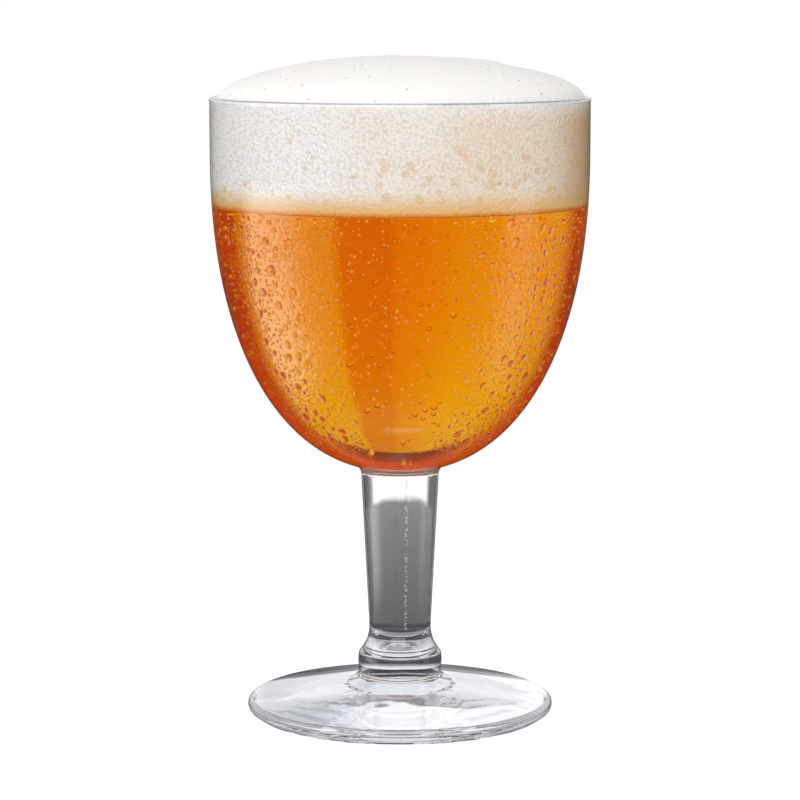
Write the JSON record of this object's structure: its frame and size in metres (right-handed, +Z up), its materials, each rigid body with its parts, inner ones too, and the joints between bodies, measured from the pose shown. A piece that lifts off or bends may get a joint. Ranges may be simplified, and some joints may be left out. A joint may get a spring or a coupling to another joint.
{
  "type": "chalice beer glass",
  "caption": "Stemmed chalice glass with a wide rounded bowl, tapered stem, flared knop and round foot, holding beer under a domed head of foam, with condensation outside.",
  "frame": {"origin": "centre of the underside of the foot, on the surface that the glass stands on", "axes": "+Z up along the axis of the glass, -Y towards the viewer of the picture, +X to the viewer's right"},
  "size_m": [0.0902, 0.0902, 0.158],
  "materials": {
    "glass": "fire-polished clear soda-lime glass",
    "beer": "clear amber liquid",
    "foam": "fine creamy froth",
    "water": "clear beads of water"
  },
  "bodies": {
    "glass": {"foot": "glass", "knop": "glass", "stem": "glass", "bowl": "glass", "condensation": "water"},
    "beer": {"beer": "beer"},
    "foam": {"foam_head": "foam"}
  },
  "joints": [
    {"name": "beer_swirl", "type": "hinge", "parent": "glass", "child": "beer", "pos_m": [0, 0, 0.1], "axis": [0, 0, 1], "continuous": true},
    {"name": "foam_lift", "type": "slide", "parent": "beer", "child": "foam", "axis": [0, 0, 1], "range_m": [0, 0.04]}
  ]
}
